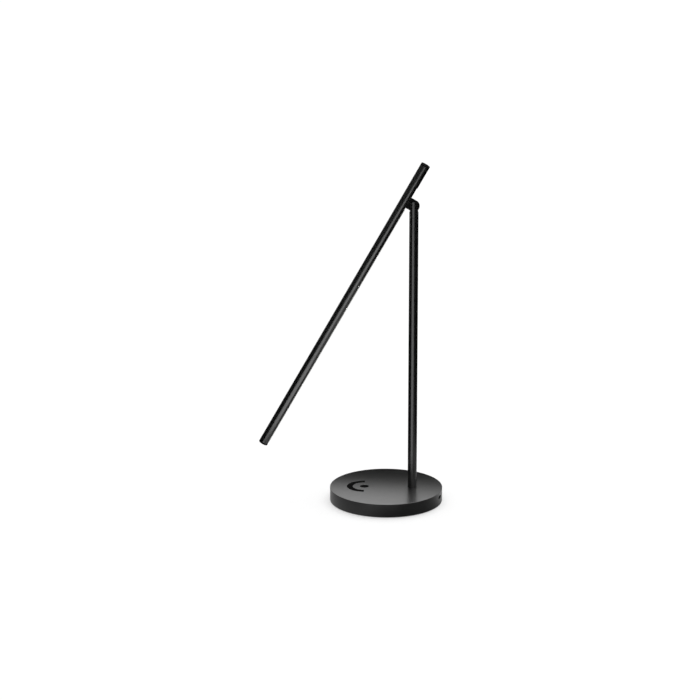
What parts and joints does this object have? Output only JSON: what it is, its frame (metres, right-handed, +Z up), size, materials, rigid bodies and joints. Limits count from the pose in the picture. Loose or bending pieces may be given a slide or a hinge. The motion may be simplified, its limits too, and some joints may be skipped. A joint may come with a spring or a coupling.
{
  "type": "led desk lamp",
  "caption": "Slim LED desk lamp: round weighted base with a touch dimmer arc and a key, thin upright post, and a round light bar that tilts on a hinge at the post's top.",
  "frame": {"origin": "middle of the foot pad's underside, on the desk", "axes": "+Z up along the post, +X from the base's middle towards the post and the power inlet, the light bar leans towards -X, Y is the hinge axis"},
  "size_m": [0.2446, 0.15, 0.4604],
  "materials": {
    "black_cover": "satin black powder coat",
    "black_post": "satin black powder coat",
    "black_bar": "black anodised, fine satin",
    "steel": "plain zinc-plated steel",
    "ballast": "raw rolled steel",
    "plate": "matt black coat",
    "foot_rubber": "fine matt",
    "control_mark": "gloss black",
    "board": "green laminate",
    "component": "moulded black",
    "conductive_pad": "carbon-filled foam",
    "capacitor_can": "plain can",
    "inlet_steel": "drawn shell",
    "insulator": "moulded black",
    "lead": "black jacket",
    "friction": "natural acetal",
    "black_trim": "satin black",
    "opal": "opal, unlit",
    "led_panel": "white solder mask",
    "led": "phosphor yellow"
  },
  "bodies": {
    "base": {"base_cover": "black_cover", "base_plate": "plate", "foot_pad": "foot_rubber", "base_screws": "steel", "ballast_plate": "ballast", "dimmer_arc": "control_mark", "control_board": "board", "touch_chip": "component", "touch_pads": "conductive_pad", "tact_switch": "component", "board_screws": "steel", "inlet_shell": "inlet_steel", "inlet_tongue": "insulator", "inlet_board": "board", "driver_coil": "component", "driver_chip": "component", "driver_capacitor": "capacitor_can", "board_lead": "lead", "post_lead": "lead", "post_tube": "black_post", "post_stud": "steel", "post_washer": "steel", "post_nut": "steel", "post_fork": "black_post", "hinge_screw": "steel", "friction_washers": "friction"},
    "key": {"power_key": "control_mark", "switch_plunger": "component"},
    "light_bar": {"bar_tube": "black_bar", "bar_lug": "black_post", "lug_screws": "steel", "diffuser": "opal", "slot_cover": "black_trim", "led_board": "led_panel", "led_chips": "led", "tip_cap": "black_bar", "tail_cap": "black_bar", "bar_lead": "lead"}
  },
  "joints": [
    {"name": "bar_tilt", "type": "hinge", "parent": "base", "child": "light_bar", "pos_m": [0.0348, 0, 0.403], "axis": [0, 1, 0], "range_deg": [-29.4, 150.6]},
    {"name": "key_press", "type": "slide", "parent": "base", "child": "key", "axis": [0, 0, -1], "range_m": [0, 0.0005], "stiffness_N_per_m": 1200, "springref_m": -0.0005}
  ]
}
